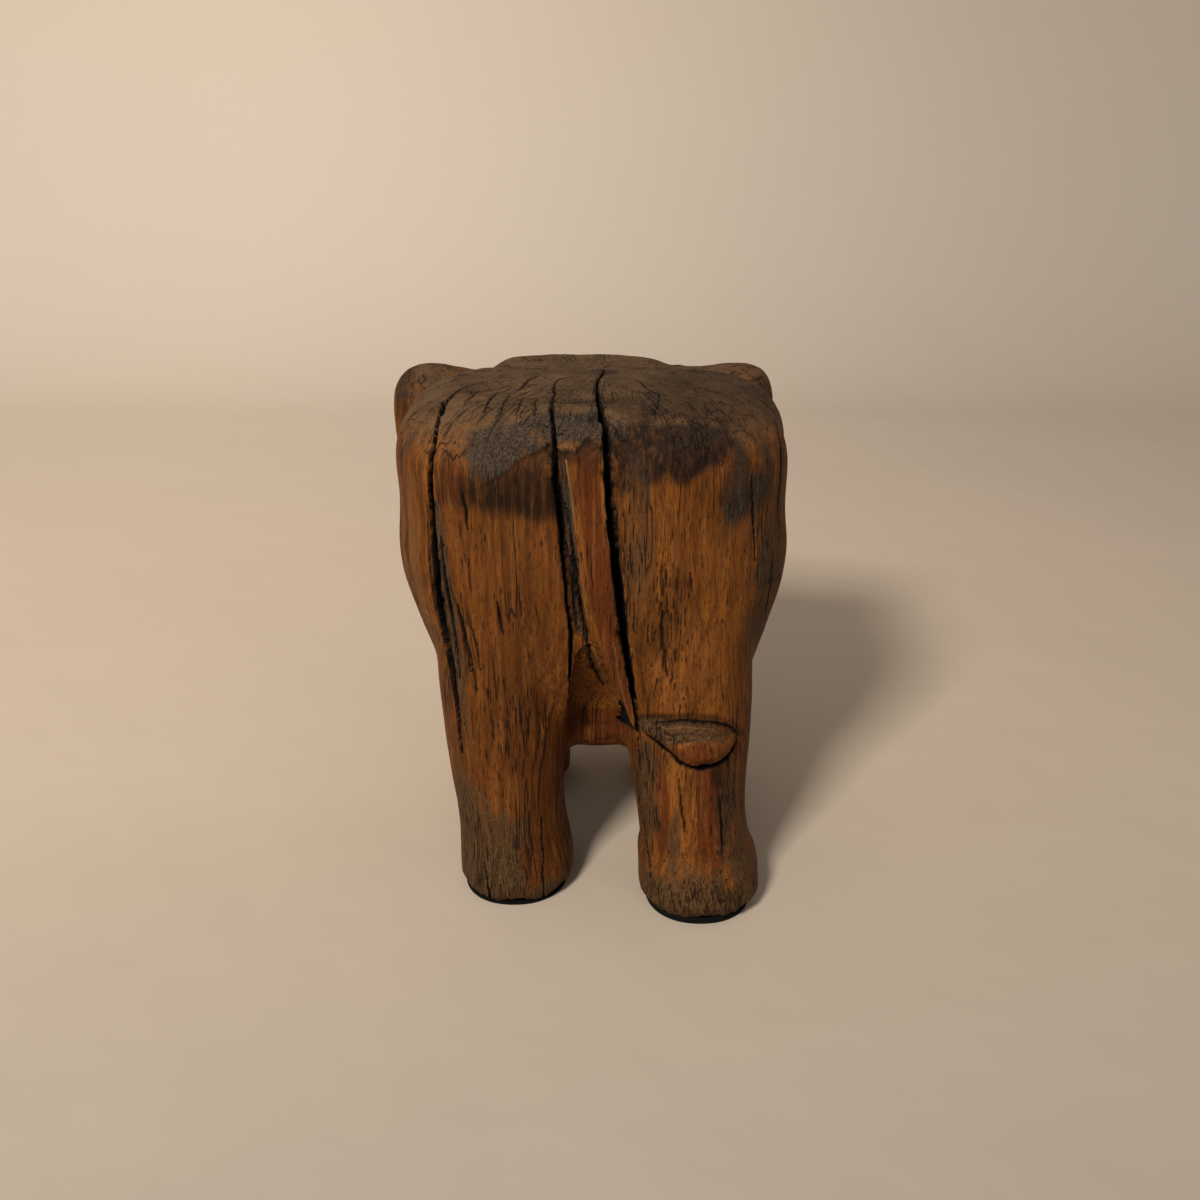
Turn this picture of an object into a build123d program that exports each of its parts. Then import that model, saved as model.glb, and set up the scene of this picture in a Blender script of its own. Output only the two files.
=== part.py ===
from build123d import *
import os
from math import copysign, cos, pi, radians, sin

# A stool carved from one upright log in the shape of an elephant. Millimetres, +Z up.
# The elephant faces +Y, so its right side is +X. While it is built, the body's middle is X = 0,
# the rear face is Y = 0 and the floor is Z = 0; at the end the whole stool is centred.

# Body and seat
seat_height = 400.0
belly_height = 110.0
body_width = 300.0
body_length = 262.0
body_squareness = 3.3
body_lean = 4.0

# Legs: the stance is measured between the middles of the feet
hind_stance = 147.0
hind_foot_offset = 9.0
front_stance = 150.0
front_foot_offset = 5.0
hind_leg_width = 88.0
front_leg_width = 86.0
leg_depth = 94.0
front_leg_place = 215.0
right_hind_setback = 24.0
hip_height = 285.0
hip_spread = 142.0
hind_hip_place = 62.0
shoulder_height = 250.0
shoulder_place = 205.0

# Foot pads: the right hind leg is the short one, so its pad is thicker
pad_thickness = 2.5
levelling_pad_thickness = 5.5
pad_inset = 3.0

# Head, ears and trunk
head_top = 390.0
head_width = 166.0
head_length = 116.0
head_front = 298.0
jaw_height = 205.0
head_lean = 12.0
ear_top = 388.0
ear_tip_height = 146.0
ear_span = 340.0
ear_tuck = 18.0
ear_length = 74.0
ear_rear = 184.0
ear_root = 138.0
right_ear_trim = 20.0
trunk_reach = 322.0
trunk_tip_height = 62.0
trunk_root_width = 88.0
trunk_tip_width = 42.0

# Tusks and eyes, plugged into drilled holes
tusk_diameter = 15.0
tusk_tip_diameter = 5.0
tusk_plug = 16.0
tusk_length = 62.0
tusk_spacing = 104.0
tusk_height = 268.0
eye_diameter = 13.0
eye_plug = 7.0
eye_dome = 2.5
eye_height = 318.0
eye_turn = 38.0
plug_clearance = 0.12

# Tail and tuft
tail_top = 374.0
tail_tip = 149.0
tail_width = 30.0
tail_proud = 4.0
tail_start = -6.0
tail_end = 34.0
tuft_length = 74.0
tuft_width = 40.0
tuft_proud = 8.0

# Opening between the hind legs, under the tail
crotch_height = 232.0
crotch_width = 52.0
crotch_depth = 50.0

# The main drying check, the crack that opens in a whole log, and the groove on the tail's other side
check_width = 6.0
check_depth = 36.0
check_foot = 218.0
groove_width = 4.5
groove_depth = 9.0

section_points = 16
sole_girth = 1.02


def outline(height, middle_x, middle_y, half_x, half_y, squareness=2.3):
    """A level rounded outline: 2 is an ellipse, larger values have fuller corners."""
    points = []
    for step in range(section_points):
        turn = 2 * pi * step / section_points
        across = copysign(abs(cos(turn)) ** (2 / squareness), cos(turn))
        along = copysign(abs(sin(turn)) ** (2 / squareness), sin(turn))
        points.append((middle_x + half_x * across, middle_y + half_y * along, height))
    return Wire(Spline(*points, periodic=True))


def outermost(solid, start, direction):
    """The point where a line leaves a solid, and nothing of the solid lies beyond."""
    hits = solid.find_intersection_points(Axis(start, direction))
    return max((point for point, _ in hits), key=lambda point: (point - Vector(*start)).dot(Vector(*direction)))


def body():
    """The barrel of the body, from the belly up to the crown that is sat on."""
    # share of the rise, share of the half width, rear edge and front edge as shares of the length
    rows = (
        (0.00, 0.30, 0.26, 0.76),
        (0.05, 0.58, 0.18, 0.86),
        (0.17, 0.79, 0.09, 0.94),
        (0.33, 0.90, 0.03, 1.00),
        (0.45, 0.965, 0.01, 1.00),
        (0.62, 1.00, 0.00, 0.98),
        (0.80, 0.98, 0.00, 0.90),
        (0.91, 0.935, 0.025, 0.79),
        (0.965, 0.83, 0.08, 0.72),
        (0.99, 0.65, 0.16, 0.66),
        (1.00, 0.46, 0.25, 0.60),
    )
    wires = []
    for rise, wide, rear, front in rows:
        height = belly_height + rise * (seat_height - belly_height)
        middle = body_length * (rear + front) / 2
        half = body_length * (front - rear) / 2
        lean = body_lean * (0.5 - rise)
        wires.append(outline(height, lean, middle, wide * body_width / 2, half, body_squareness))
    return Solid.make_loft(wires)


def leg(foot_x, foot_y, root, foot_bottom, width):
    """One leg, from the sole of the foot up to its root inside the body."""
    # share of the height, share of the way across from foot to root, girth
    rows = (
        (0.00, 0.00, sole_girth),
        (0.11, 0.05, 1.01),
        (0.19, 0.35, 0.98),
        (0.33, 0.70, 1.01),
        (0.55, 0.90, 1.12),
        (0.75, 1.00, 1.15),
        (1.00, 1.00, 0.80),
    )
    root_x, root_y, root_height = root
    wires = []
    for rise, lean, girth in rows:
        height = foot_bottom + rise * (root_height - foot_bottom)
        middle_x = foot_x + lean * (root_x - foot_x)
        middle_y = foot_y + rise * (root_y - foot_y)
        wires.append(outline(height, middle_x, middle_y, girth * width / 2, girth * leg_depth / 2, 2.2))
    return Solid.make_loft(wires)


def foot_pad(foot_x, foot_y, thickness, width):
    """A flat pad under a foot, a little smaller than the sole."""
    half_x = sole_girth * width / 2 - pad_inset
    half_y = sole_girth * leg_depth / 2 - pad_inset
    sole = outline(0, foot_x, foot_y, half_x, half_y, 2.2)
    return extrude(Face(sole), amount=thickness)


hind_y = sole_girth * leg_depth / 2
feet = {
    "hind_left": (-hind_stance / 2 + hind_foot_offset, hind_y, pad_thickness, hind_leg_width),
    "hind_right": (
        hind_stance / 2 + hind_foot_offset,
        hind_y - right_hind_setback,
        levelling_pad_thickness,
        hind_leg_width,
    ),
    "front_left": (-front_stance / 2 + front_foot_offset, front_leg_place, pad_thickness, front_leg_width),
    "front_right": (front_stance / 2 + front_foot_offset, front_leg_place, pad_thickness, front_leg_width),
}


def legs():
    """All four legs, by name. Their roots are closer together than their feet."""
    parts = {}
    for name, (foot_x, foot_y, sole, width) in feet.items():
        root = (copysign(hip_spread / 2, foot_x), shoulder_place, shoulder_height)
        if name.startswith("hind"):
            root = (copysign(hip_spread / 2, foot_x), hind_hip_place, hip_height)
        parts[name] = leg(foot_x, foot_y, root, sole, width)
    return parts


def head():
    """Head and neck, leaning a little to the elephant's left."""
    # share of the rise, share of the width, rear edge and front edge as shares of the length
    rows = (
        (0.00, 0.60, 0.10, 0.62),
        (0.18, 0.80, 0.04, 0.86),
        (0.44, 0.92, 0.00, 1.00),
        (0.70, 1.00, 0.00, 0.97),
        (0.88, 1.00, 0.02, 0.86),
        (0.97, 0.88, 0.09, 0.72),
        (1.00, 0.60, 0.21, 0.57),
    )
    wires = []
    for rise, wide, rear, front in rows:
        height = jaw_height + rise * (head_top - jaw_height)
        middle = head_front - head_length * (1 - (rear + front) / 2)
        half = head_length * (front - rear) / 2
        wires.append(outline(height, -head_lean * rise, middle, wide * head_width / 2, half, 2.5))
    return Solid.make_loft(wires)


def ear(side, trim):
    """One ear: a thick flap that hangs from the head over the shoulder, with a rounded rim."""
    # share of the length from the rear edge, share of the drop
    rim = (
        (0.50, 0.00),
        (0.10, 0.04),
        (0.00, 0.30),
        (0.06, 0.68),
        (0.40, 1.00),
        (0.76, 0.78),
        (1.00, 0.38),
        (0.90, 0.05),
    )
    drop = ear_top - ear_tip_height
    root = ear_root / 2
    reach = ear_span / 2 - trim
    wires = []
    # share of the way out from the root, size of the rim there
    for out, size in ((0.0, 1.0), (0.7, 1.0), (0.93, 0.94), (1.0, 0.76)):
        points = []
        for along, down in rim:
            y = ear_rear + ear_length * (0.5 + (along - 0.5) * size)
            z = ear_top - drop * (0.5 + (down - 0.5) * size)
            tuck = ear_tuck * (ear_top - z) / drop
            points.append((side * (root + out * (reach - tuck - root)), y, z))
        wires.append(Wire(Spline(*points, periodic=True)))
    return Solid.make_loft(wires)


def trunk():
    """The trunk, hanging in front of the forelegs with its tip turned forward."""
    # height share from tip to brow, forward share, girth share, tilt of the section in degrees
    brow = jaw_height + 0.62 * (head_top - jaw_height)
    start = head_front - 0.36 * head_length
    rows = (
        (1.06, -0.45, 0.96, 40),
        (0.88, 0.25, 0.98, 32),
        (0.66, 0.76, 0.84, 16),
        (0.44, 0.97, 0.60, 4),
        (0.22, 1.00, 0.34, -4),
        (0.08, 0.97, 0.12, 4),
        (0.02, 1.00, 0.00, 8),
        (0.00, 1.01, -0.16, 8),
    )
    wires = []
    forward = trunk_reach - trunk_root_width / 4 - start
    for rise, ahead, girth, tilt in rows:
        half_x = (trunk_tip_width + girth * (trunk_root_width - trunk_tip_width)) / 2
        height = trunk_tip_height + rise * (brow - trunk_tip_height)
        place = Location((0, start + ahead * forward, height)) * Rotation(X=-tilt)
        wires.append(outline(0, 0, 0, half_x, 0.86 * half_x).moved(place))
    return Solid.make_loft(wires)


def in_rear_view(points, near, far):
    """A solid whose outline is given across and up, as seen from behind, between two depths."""
    face = Plane.XZ * make_face(Polyline(*points, close=True))
    return extrude(face.moved(Location((0, near, 0))), amount=near - far)


def tail_middle(height):
    """How far across the tail's middle line lies at a height: it drifts to the right going down."""
    fall = (tail_top - height) / (tail_top - tail_tip)
    return tail_start + (tail_end - tail_start) * fall ** 1.25


def tail_edge(height, side):
    """How far across one edge of the tail lies at a height: side is -1 for left, 1 for right."""
    fall = max(0, (tail_top - height) / (tail_top - tail_tip))
    return tail_middle(min(height, tail_top)) + side * tail_width / 2 * (1 - 0.25 * fall)


def tail():
    """The tail, a flat strip left proud of the rump, which narrows to a point."""
    heights = [tail_top - share * (tail_top - tail_tip) for share in (0.0, 0.25, 0.5, 0.75)]
    left = [(tail_edge(height, -1), height) for height in heights]
    right = [(tail_edge(height, 1), height) for height in reversed(heights)]
    return in_rear_view([*left, (tail_end, tail_tip), *right], -tail_proud, crotch_depth * 0.6)


def tuft(right_leg):
    """The leaf-shaped tuft at the end of the tail, lying on the right hind leg."""
    middle_z = tail_tip + tuft_width * 0.25
    left = (tail_end - 2, middle_z)
    right = (tail_end - 2 + tuft_length, middle_z - 6)
    middle_x = (left[0] + right[0]) / 2
    above = ThreePointArc(left, (middle_x, middle_z + tuft_width / 2), right)
    below = ThreePointArc(right, (middle_x, middle_z - tuft_width / 2), left)
    leaf = Plane.XZ * make_face([above, below])
    root = crotch_depth * 0.6
    surface = outermost(right_leg, (middle_x, root, middle_z), (0, -1, 0)).Y
    block = extrude(leaf.moved(Location((0, root, 0))), amount=root - surface + tuft_proud)
    swell = (tuft_length ** 2 / 4 + tuft_proud ** 2) / (2 * tuft_proud)
    return block & Sphere(swell).moved(Location((middle_x, surface - tuft_proud + swell, middle_z)))


def crotch():
    """The pointed opening that parts the hind legs below the tail."""
    half = crotch_width / 2
    points = [
        (-half + 2, belly_height / 2),
        (-half + 4, crotch_height * 0.62),
        (-half * 0.55, crotch_height * 0.94),
        (-half * 0.2, crotch_height),
        (half * 0.5, crotch_height * 0.92),
        (half + 4, crotch_height * 0.62),
        (half + 4, belly_height / 2),
    ]
    return in_rear_view(points, -leg_depth, crotch_depth)


def rump_check():
    """The crack down the rump, along the tail's right edge, widest at the top."""
    top = tail_top + check_depth
    heights = [top, tail_top, (tail_top + check_foot) / 2, check_foot]
    left = [(tail_edge(height, 1), height) for height in heights]
    right = []
    for height in heights:
        narrowing = min(1, (height - check_foot) / (tail_top - check_foot))
        right.append((tail_edge(height, 1) + check_width * (0.5 + 0.5 * narrowing), height))
    return in_rear_view([*left, *reversed(right)], -leg_depth, check_depth)


def crown_check():
    """The same crack as it runs over the crown towards the pith of the log."""
    start = tail_edge(tail_top, 1)
    wedge = make_face(
        Polyline(
            (start, 0),
            (start + check_width, 0),
            (start + check_width, check_depth),
            (start, body_length * 0.55),
            close=True,
        )
    )
    bottom = seat_height - check_depth / 2
    return extrude(wedge.moved(Location((0, 0, bottom))), amount=check_depth)


def tail_groove():
    """The groove that sets the tail's left edge off from the rump."""
    top = tail_top - 2 * groove_depth
    heights = (top, (top + crotch_height) / 2, crotch_height - groove_depth)
    left = [(tail_edge(height, -1) - groove_width, height) for height in heights]
    right = [(tail_edge(height, -1), height) for height in reversed(heights)]
    return in_rear_view([*left, *right], -leg_depth, groove_depth)


def tusk_plane_on(head_solid, side):
    """Where a tusk leaves the head, with the local Z axis along the tusk, outwards."""
    direction = Vector(0.15 * side, 0.95, -0.28).normalized()
    start = (side * tusk_spacing / 2 - head_lean / 2, head_front - head_length * 0.6, tusk_height)
    point = outermost(head_solid, start, tuple(direction))
    return Plane(origin=point, x_dir=(1, 0, 0), z_dir=direction)


def tusk():
    """One tusk about its own plug: the plug below the local origin, the curved part above it."""
    plug = Cylinder(tusk_diameter / 2, tusk_plug, align=(Align.CENTER, Align.CENTER, Align.MIN))
    plug = plug.moved(Location((0, 0, -tusk_plug)))
    wires = []
    for share in (0.0, 0.35, 0.7, 1.0):
        radius = (tusk_diameter + (tusk_tip_diameter - tusk_diameter) * share ** 1.4) / 2
        bend = 34 * share
        place = Location((0, 0.18 * tusk_length * share ** 2, tusk_length * share)) * Rotation(X=-bend * 0.6)
        wires.append(Wire(Edge.make_circle(radius)).moved(place))
    return plug + Solid.make_loft(wires)


def eye_plane_on(head_solid, side):
    """Where an eye sits in the head, with the local Z axis outwards, turned forward from the side."""
    direction = (side * cos(radians(eye_turn)), sin(radians(eye_turn)), 0)
    start = (-head_lean / 2, head_front - head_length * 0.45, eye_height)
    point = outermost(head_solid, start, direction)
    return Plane(origin=point, x_dir=(0, 0, 1), z_dir=direction)


def eye():
    """One eye: a peg with a low dome, which starts at the head's surface."""
    radius = eye_diameter / 2
    ball = (radius ** 2 + eye_dome ** 2) / (2 * eye_dome)
    dome = Sphere(ball).moved(Location((0, 0, eye_dome - ball)))
    dome &= Cylinder(radius, eye_dome, align=(Align.CENTER, Align.CENTER, Align.MIN))
    peg = Cylinder(radius, eye_plug, align=(Align.CENTER, Align.CENTER, Align.MAX))
    return peg + dome


def bore(diameter, depth):
    """A drilled hole for a plug: its floor carries the plug's end."""
    tool = Cylinder(diameter / 2 + plug_clearance, depth + diameter, align=(Align.CENTER, Align.CENTER, Align.MIN))
    return tool.moved(Location((0, 0, -depth)))


def build():
    """Every piece of the stool, by its name."""
    skull = head()
    limbs = legs()
    log = body() - crotch()
    for limb in limbs.values():
        log += limb
    log += skull
    log += trunk()
    log += ear(-1, 0)
    log += ear(1, right_ear_trim)
    log += tail()
    log += tuft(limbs["hind_right"])
    log = log - rump_check() - crown_check() - tail_groove()
    pieces = {}
    for name, side in (("left", -1), ("right", 1)):
        tusk_plane = tusk_plane_on(skull, side)
        eye_plane = eye_plane_on(skull, side)
        log -= tusk_plane * bore(tusk_diameter, tusk_plug)
        log -= eye_plane * bore(eye_diameter, eye_plug)
        pieces[f"{name}_tusk"] = tusk_plane * tusk()
        pieces[f"{name}_eye"] = eye_plane * eye()
    for name, (foot_x, foot_y, thickness, width) in feet.items():
        pieces[f"{name}_foot_pad"] = foot_pad(foot_x, foot_y, thickness, width)
    return {"carved_log": log, **pieces}


pieces = build()
corners = [piece.bounding_box() for piece in pieces.values()]
middle_x = (min(box.min.X for box in corners) + max(box.max.X for box in corners)) / 2
middle_y = (min(box.min.Y for box in corners) + max(box.max.Y for box in corners)) / 2
centring = Location((-middle_x, -middle_y, 0))
os.makedirs("parts", exist_ok=True)
for name, piece in pieces.items():
    export_step(piece.moved(centring), f"parts/{name}.step")
print("centred by moving", centring.position)
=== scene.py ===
from collections import namedtuple
from math import cos, hypot, pi, radians, sin

import bmesh
import bpy
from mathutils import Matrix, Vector, noise
from mathutils.bvhtree import BVHTree
from mathutils.kdtree import KDTree


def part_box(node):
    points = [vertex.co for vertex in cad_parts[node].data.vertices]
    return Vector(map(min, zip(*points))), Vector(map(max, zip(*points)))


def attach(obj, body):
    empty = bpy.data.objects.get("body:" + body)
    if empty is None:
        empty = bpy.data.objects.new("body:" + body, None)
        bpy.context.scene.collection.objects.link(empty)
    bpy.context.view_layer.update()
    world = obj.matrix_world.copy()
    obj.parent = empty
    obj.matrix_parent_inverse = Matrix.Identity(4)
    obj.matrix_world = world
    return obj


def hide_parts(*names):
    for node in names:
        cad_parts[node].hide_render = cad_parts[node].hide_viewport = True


# A stool carved from one log in the shape of an elephant: the carving's skin, its drying checks,
# its finishes, and the plain studio that it stands in. Metres, in the frame of the solids.
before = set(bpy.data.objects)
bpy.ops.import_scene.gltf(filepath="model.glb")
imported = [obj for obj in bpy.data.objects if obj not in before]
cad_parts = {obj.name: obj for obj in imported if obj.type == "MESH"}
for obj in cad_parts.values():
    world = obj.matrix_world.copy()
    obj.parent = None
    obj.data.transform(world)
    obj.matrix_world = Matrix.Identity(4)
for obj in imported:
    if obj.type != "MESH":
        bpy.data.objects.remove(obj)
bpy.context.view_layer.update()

MM = 0.001

# The skin: its grid, the slots that it closes, and what it takes as one point
GRID = 4.15 * MM
SLOT_CLOSING = 3.6 * MM
SAME_POINT = 0.01 * MM

# The dots along a mark, in millimetres: their gap, how many there are at least to its width, their
# least width, and the length of the waves in which the line wavers
DOT_GAP = 0.7
DOTS_PER_WIDTH = 10
DOT_WIDTH = 0.3
WANDER_WAVE = 9

# How far beyond a mark the skin is refined, first round every mark and then round the fine ones
FOLD_RING = 5.0 * MM
CHECK_RING = 2.2 * MM

# How far across a mark its mask is whole and where it ends, in shares of the mark's half width, how
# much farther out that is, and how much the mark's line wavers, in millimetres
MASK_CORE = {"steep": 1.0, "soft": 0.5}
MASK_END = {"steep": 1.3, "soft": 1.0}
MASK_SPREAD = {"steep": 0.2 * MM, "soft": 0.0}
WANDER = {"steep": 0.8, "soft": 0.0}
SEARCH_MARGIN = 1 * MM

# The log: its pith, how its grain leans and sways, and how fast its rings follow each other, in
# radians per metre, and sway
PITH = (13 * MM, -22 * MM)
GRAIN_LEAN = radians(2.5)
GRAIN_SWAY = 8 * MM
RING_RATE = 1150
RING_SWAY = 30

# How far the eyes are turned forward from the side
EYE_TURN = radians(38)

# The studio
CAMERA_PLACE = (0.012, -0.943, 0.591)
CAMERA_DIP = radians(22.5)
CAMERA_SENSOR = 36
CAMERA_LENS = 36
LIGHT_AIM = (0, 0, 0.2)
LIGHT_TURN = radians(27)
LIGHT_RISE = radians(40)
LIGHT_REACH = 3.4
LIGHT_SIDE = 0.6
LIGHT_POWER = 128
LIGHT_COLOUR = (1.0, 0.96, 0.9)
ROOM_LIGHT = 0.38
ROOM_COLOUR = (1.0, 0.97, 0.93, 1.0)
PAPER_HALF = 3.0
PAPER_NEAR = -2.4
PAPER_FAR = 2.3
PAPER_HEIGHT = 3.2
PAPER_BEND = 0.8
BEND_STEPS = 24


# ---- Marks on the skin ----

# How each side is looked at: the way across, the way up and the way that the eye looks
X, Y, Z = (Vector(axis) for axis in ((1, 0, 0), (0, 1, 0), (0, 0, 1)))
VIEWS = {
    "rear": (X, Z, Y),
    "front": (X, Z, Vector((0, -1, 0))),
    "left": (Y, Z, X),
    "right": (Y, Z, Vector((-1, 0, 0))),
    "crown": (X, Y, Vector((0, 0, -1))),
    "left_cheek": (Vector((sin(EYE_TURN), cos(EYE_TURN), 0)), Z,
                   Vector((cos(EYE_TURN), -sin(EYE_TURN), 0))),
    "right_cheek": (Vector((-sin(EYE_TURN), cos(EYE_TURN), 0)), Z,
                    Vector((-cos(EYE_TURN), -sin(EYE_TURN), 0))),
}

# Masks painted on the skin: painted shade in checks and under edges, worn pale edges and painted light,
# weathered grey wood, dark stains and painted shade, fresh red wood and wood eaten into dark dashes
MASKS = ("ink", "pale", "grey", "stain", "red", "spalt")

# A mark is a line of (across, up, width) in millimetres on one side. Its depth is in millimetres,
# and a raised mark has a negative one. Its strength is how much of its mask it paints.
Mark = namedtuple("Mark", "view line depth form mask strength")


def check(view, line, depth, strength=0.9):
    """A drying check: steep walls, painted shade inside, and a line that wavers."""
    return Mark(view, line, depth, "steep", "ink", strength)


def fold(view, line, depth, mask="ink", strength=0.0):
    """A soft groove, or a raised line where the depth is negative."""
    return Mark(view, line, depth, "soft", mask, strength)


def welt(view, line, height, strength=0.0):
    """A raised, rounded line, pale where it is worn."""
    return fold(view, line, -height, "pale", strength)


CHECKS = tuple(check(*row) for row in (
    # The main check, over the crown and down the tail's right edge
    ("crown", ((16, -16, 1.2), (10, -63, 2.2), (11, -107, 3.2), (13, -136, 4)), 9, 1),
    ("rear", ((13, 396, 3.2), (16, 384, 4), (17, 373, 6), (20, 326, 6.6), (26, 266, 6),
     (32, 219, 4.8), (37, 187, 3.6), (40, 159, 2.8), (42, 129, 1.2)), 18, 1),
    # The groove on the tail's left, and the lines that run beside it down to the crotch
    ("crown", ((-21, -66, 0.9), (-21, -93, 1.6), (-22, -128, 2.2)), 3),
    ("rear", ((-21, 396, 2.2), (-19, 379, 2.8), (-18, 353, 4.4), (-15, 324, 4.4), (-13, 295, 3.4),
     (-11, 264, 3), (-9, 236, 2.8), (-10, 206, 2.2), (-11, 176, 1.8), (-14, 146, 1)), 9, 1),
    ("rear", ((-12, 336, 1), (-7, 300, 2.4), (-3, 266, 2.8), (1, 236, 2.4)), 5, 1),
    ("rear", ((-12, 310, 0.8), (-8, 284, 1.6), (-6, 256, 1.6), (-4, 240, 0.9)), 2.5, 0.85),
    ("rear", ((2, 240, 1.8), (5, 214, 2.2), (10, 192, 2), (15, 178, 1)), 3),
    # The long check near the left corner, with the lines that part from it lower down
    ("crown", ((-60, -42, 0.9), (-84, -61, 1.6), (-95, -90, 2.2), (-99, -116, 2.4)), 4),
    ("rear", ((-100, 394, 2.4), (-103, 375, 3.2), (-106, 355, 4), (-107, 318, 4.8), (-106, 281, 6),
     (-104, 239, 6.8), (-99, 209, 6.4), (-96, 177, 5), (-93, 132, 1.6)), 12, 1),
    ("rear", ((-101, 306, 1), (-99, 272, 2.4), (-95, 236, 2.8), (-92, 196, 1.2)), 4),
    ("rear", ((-110, 330, 0.8), (-111, 290, 1.6), (-109, 250, 1.6), (-104, 214, 0.8)), 2.5, 0.8),
    ("rear", ((-95, 268, 0.8), (-88, 236, 2.2), (-83, 204, 0.8)), 3, 0.95),
    ("rear", ((-91, 256, 0.8), (-84, 222, 1.8), (-79, 190, 0.8)), 2.5),
    ("rear", ((-82, 244, 0.7), (-78, 224, 1.5), (-76, 206, 0.7)), 2, 0.85),
    # Short ones on the haunches and legs
    ("rear", ((-84, 342, 0.8), (-82, 330, 2), (-81, 314, 0.8)), 2.5, 0.95),
    ("rear", ((-62, 262, 0.8), (-60, 248, 2.4), (-58, 236, 0.9)), 2.5),
    ("rear", ((-46, 272, 0.7), (-45, 262, 1.4), (-44, 250, 0.7)), 2, 0.8),
    ("rear", ((56, 262, 0.7), (57, 236, 1.8), (61, 204, 0.8)), 2.5, 0.85),
    ("rear", ((76, 284, 0.6), (77, 277, 1.4), (77, 270, 0.6)), 1.5),
    ("rear", ((118, 352, 0.8), (121, 318, 1.6), (124, 286, 0.8)), 2.5),
    ("rear", ((138, 290, 0.8), (138, 262, 1.8), (136, 236, 0.8)), 3),
    ("rear", ((-34, 76, 0.7), (-33, 50, 1.2), (-33, 16, 1.4), (-33, 3, 1.8)), 3),
    ("rear", ((-78, 30, 0.8), (-76, 14, 1.6), (-76, 3, 2)), 3, 1),
    ("rear", ((40, 110, 0.8), (43, 84, 2), (49, 52, 1.8), (52, 28, 0.8)), 2.5, 0.95),
    ("rear", ((71, 122, 0.8), (74, 96, 1.6), (77, 78, 0.8)), 2),
    ("rear", ((103, 104, 0.8), (105, 78, 2), (106, 56, 0.8)), 2.5),
    # Lines that run out from the pith over the crown, and short ones across them
    ("crown", ((-33, -35, 0.8), (-40, -53, 1.6), (-45, -77, 1.6), (-50, -90, 0.8)), 1.6),
    ("crown", ((-2, -42, 0.7), (-17, -49, 1.4), (-21, -66, 1.4), (-22, -92, 0.8)), 1.4, 0.85),
    ("crown", ((40, -50, 0.8), (47, -84, 1.4), (54, -94, 1.4), (52, -122, 0.8)), 1.6),
    ("crown", ((-62, -84, 0.8), (-66, -104, 1.6), (-68, -122, 1)), 1.6),
    ("crown", ((-52, -90, 0.8), (-55, -108, 1.5), (-57, -126, 0.8)), 1.4, 0.85),
    ("crown", ((-42, -98, 0.8), (-44, -114, 1.4), (-46, -128, 0.8)), 1.4, 0.85),
    ("crown", ((-32, -104, 0.7), (-33, -118, 1.3), (-33, -130, 0.7)), 1.4, 0.85),
    ("crown", ((-76, -78, 0.7), (-80, -96, 1.3), (-84, -112, 0.7)), 1.4, 0.8),
    ("crown", ((-24, -112, 0.8), (-12, -116, 1.6), (0, -112, 0.8)), 1.6, 0.8),
    ("crown", ((-30, -84, 0.6), (-16, -88, 1.1), (2, -84, 0.6)), 1, 0.6),
    ("crown", ((-34, -64, 0.6), (-12, -70, 1.1), (8, -66, 0.6)), 1, 0.55),
    ("crown", ((22, -92, 0.6), (38, -92, 1.1), (52, -90, 0.6)), 1, 0.55),
    ("crown", ((78, -60, 0.8), (98, -84, 1.5), (116, -100, 1)), 1.8, 0.85),
    ("crown", ((40, -10, 0.8), (76, -4, 1.6), (112, -8, 1.4), (134, -14, 0.8)), 2.4),
    ("crown", ((-14, -18, 0.8), (-56, -8, 1.6), (-98, -14, 1.6), (-126, -20, 0.8)), 2.4),
    ("crown", ((16, -8, 1), (20, 10, 1.8), (22, 30, 1)), 3),
    ("crown", ((-30, 10, 0.7), (-52, 24, 1.2), (-70, 30, 0.7)), 1.5, 0.8),
    ("crown", ((48, 8, 0.7), (66, 22, 1.2), (88, 26, 0.7)), 1.5, 0.8),
    # On the right corner and on the flanks
    ("right", ((-62, 386, 1), (-96, 378, 1.8), (-112, 362, 2.2), (-114, 330, 1.6),
     (-110, 300, 0.8)), 4, 1),
    ("right", ((-30, 350, 0.8), (-28, 300, 2.4), (-24, 240, 2.6), (-26, 196, 1)), 5, 1),
    ("right", ((-70, 300, 0.8), (-66, 262, 1.6), (-64, 224, 0.8)), 2.5),
    ("right", ((66, 110, 0.8), (64, 70, 2), (63, 22, 1)), 4),
    ("left", ((-20, 372, 0.8), (-24, 320, 2.2), (-20, 262, 2.8), (-22, 206, 1)), 5, 1),
    ("left", ((-72, 320, 0.8), (-70, 268, 1.8), (-66, 222, 0.8)), 3),
    ("left", ((56, 118, 0.8), (58, 78, 2), (58, 30, 1)), 4),
    ("left", ((66, 366, 0.8), (64, 320, 1.8), (66, 268, 1.4), (64, 226, 0.7)), 3),
    ("right", ((60, 360, 0.8), (64, 310, 1.8), (62, 262, 0.8)), 3),
    # On the brow and down the trunk
    ("front", ((-22, 386, 0.8), (-20, 356, 2.2), (-16, 318, 2.4), (-13, 290, 0.9)), 5, 1),
    ("front", ((22, 384, 0.8), (24, 362, 1.4), (24, 336, 0.8)), 2),
    ("front", ((14, 250, 0.8), (16, 210, 2.2), (15, 160, 2), (14, 118, 0.8)), 4),
    ("front", ((-60, 150, 0.8), (-61, 100, 1.8), (-62, 48, 0.8)), 3),
    ("front", ((92, 120, 0.8), (90, 84, 1.6), (90, 50, 0.8)), 3),
))


def both_sides(marks):
    """Marks of the left side and the same ones on the right."""
    return marks + tuple(mark._replace(view=mark.view.replace("left", "right")) for mark in marks)


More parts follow.
